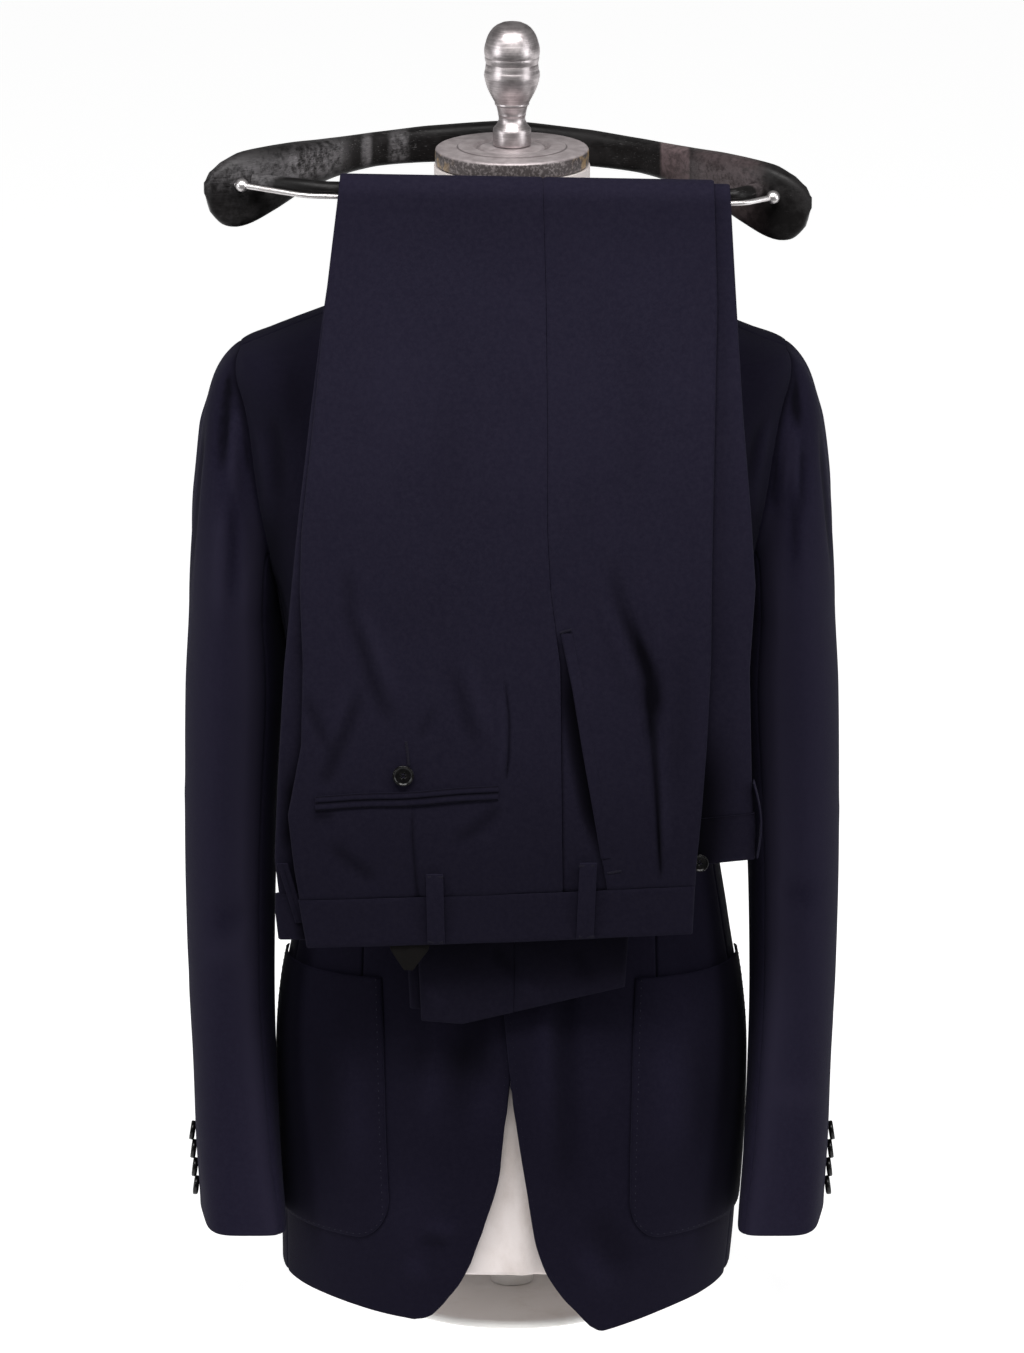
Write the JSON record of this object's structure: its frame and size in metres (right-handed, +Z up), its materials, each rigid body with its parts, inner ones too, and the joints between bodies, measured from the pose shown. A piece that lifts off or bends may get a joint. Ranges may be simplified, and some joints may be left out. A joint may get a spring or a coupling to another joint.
{
  "type": "two-piece suit on limbless dress form with hanger",
  "caption": "Two-piece suit: jacket worn by a limbless dress form, trousers folded over the crossbar of a wooden hanger that is fixed behind the form's neck.",
  "frame": {"origin": "centre of the floor plate's underside", "axes": "+Z up; the suit's front faces -Y, so the wearer's left is +X"},
  "size_m": [0.4888, 0.2971, 0.9775],
  "materials": {
    "jacket_wool": "matte worsted",
    "trouser_wool": "matte worsted",
    "button_horn": "polished",
    "form_cover": "smooth cloth",
    "polished_steel": "polished",
    "hanger_wood": "worn black stain",
    "stand_enamel": "satin",
    "curtain_cotton": "matte"
  },
  "bodies": {
    "root": {"back_pocket_button": "button_horn", "back_pocket_lower_lip": "trouser_wool", "back_pocket_upper_lip": "trouser_wool", "belt_loop_back": "trouser_wool", "belt_loop_centre": "trouser_wool", "belt_loop_front": "trouser_wool", "belt_loop_side": "trouser_wool", "collar": "jacket_wool", "cuff_button_left_1": "button_horn", "cuff_button_left_2": "button_horn", "cuff_button_left_3": "button_horn", "cuff_button_left_4": "button_horn", "cuff_button_right_1": "button_horn", "cuff_button_right_2": "button_horn", "cuff_button_right_3": "button_horn", "cuff_button_right_4": "button_horn", "finial": "polished_steel", "form_torso": "form_cover", "front_button_1": "button_horn", "front_button_2": "button_horn", "hanger_bracket": "hanger_wood", "hanger_crossbar": "hanger_wood", "hanger_yoke": "hanger_wood", "jacket_back_left": "jacket_wool", "jacket_back_right": "jacket_wool", "jacket_front_left": "jacket_wool", "jacket_front_right": "jacket_wool", "jacket_side_left": "jacket_wool", "jacket_side_right": "jacket_wool", "lapel_left": "jacket_wool", "lapel_right": "jacket_wool", "neck_cap": "polished_steel", "patch_pocket_left": "jacket_wool", "patch_pocket_right": "jacket_wool", "slant_pocket_mouth": "trouser_wool", "sleeve_top_left": "jacket_wool", "sleeve_top_right": "jacket_wool", "sleeve_under_left": "jacket_wool", "sleeve_under_right": "jacket_wool", "stand_plate": "stand_enamel", "stand_post": "stand_enamel", "trouser_back_left": "trouser_wool", "trouser_back_right": "trouser_wool", "trouser_front_left": "trouser_wool", "trouser_front_right": "trouser_wool", "trouser_rod": "polished_steel", "waist_button": "button_horn", "waistband_curtain": "curtain_cotton", "waistband_left": "trouser_wool", "waistband_right": "trouser_wool"}
  },
  "joints": []
}
